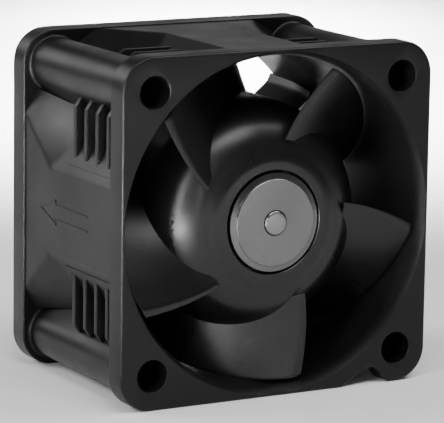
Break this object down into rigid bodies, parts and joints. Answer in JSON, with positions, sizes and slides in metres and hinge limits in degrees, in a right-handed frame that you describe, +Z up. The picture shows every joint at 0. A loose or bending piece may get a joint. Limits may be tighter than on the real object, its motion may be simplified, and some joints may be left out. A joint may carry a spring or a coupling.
{
  "type": "axial cooling fan",
  "caption": "Square axial cooling fan: domed hub with swept blades in a round ribbed duct, mounting holes in both flanges.",
  "frame": {"origin": "on the rotor axis at half the depth, which is the centre of the bounding box", "axes": "+Y along the rotor axis from the inlet to the outlet, +Z up, +X right seen from the inlet"},
  "size_m": [0.04, 0.028, 0.04],
  "materials": {
    "black_plastic": "satin, glass filled",
    "rotor_plastic": "satin, glass filled",
    "cup_steel": "satin plated",
    "magnet": "bonded ferrite, matt",
    "brass": "turned",
    "shaft_steel": "ground",
    "spring_steel": "plain",
    "washer_plastic": "plain",
    "core_steel": "stacked sheet",
    "insulator": "plain",
    "copper": "enamelled wire",
    "pin_metal": "tinned",
    "board": "lacquered",
    "chip": "moulded",
    "capacitor": "fired ceramic",
    "race_steel": "ground",
    "ball_steel": "polished",
    "cage_metal": "pressed",
    "shield_steel": "pressed",
    "cap_plastic": "plain"
  },
  "bodies": {
    "frame": {"housing": "black_plastic", "bearing_tube": "brass", "bearing_cap": "cap_plastic", "stator_core": "core_steel", "front_insulator": "insulator", "rear_insulator": "insulator", "winding_pins": "pin_metal", "circuit_board": "board", "hall_sensor": "chip", "driver_chip": "chip", "smoothing_capacitor": "capacitor", "front_outer_race": "race_steel", "front_shields": "shield_steel", "rear_outer_race": "race_steel", "rear_shields": "shield_steel", "coil_1": "copper", "coil_2": "copper", "coil_3": "copper", "coil_4": "copper", "coil_5": "copper", "coil_6": "copper"},
    "rotor": {"impeller": "rotor_plastic", "rotor_cup": "cup_steel", "magnet_ring": "magnet", "shaft_bush": "brass", "shaft": "shaft_steel", "preload_spring": "spring_steel", "thrust_washer": "washer_plastic", "retaining_clip": "spring_steel", "front_inner_race": "race_steel", "rear_inner_race": "race_steel"},
    "front_ball_set": {"front_balls": "ball_steel", "front_cage": "cage_metal"},
    "rear_ball_set": {"rear_balls": "ball_steel", "rear_cage": "cage_metal"}
  },
  "joints": [
    {"name": "rotor_spin", "type": "hinge", "parent": "frame", "child": "rotor", "pos_m": [0, 0, 0], "axis": [0, 1, 0], "continuous": true},
    {"name": "front_ball_set_spin", "type": "hinge", "parent": "frame", "child": "front_ball_set", "pos_m": [0, 0, 0], "axis": [0, 1, 0], "continuous": true},
    {"name": "rear_ball_set_spin", "type": "hinge", "parent": "frame", "child": "rear_ball_set", "pos_m": [0, 0, 0], "axis": [0, 1, 0], "continuous": true}
  ],
  "couplings": [
    {"joint": "front_ball_set_spin", "follows": "rotor_spin", "ratio": 0.3564},
    {"joint": "rear_ball_set_spin", "follows": "rotor_spin", "ratio": 0.3564}
  ]
}
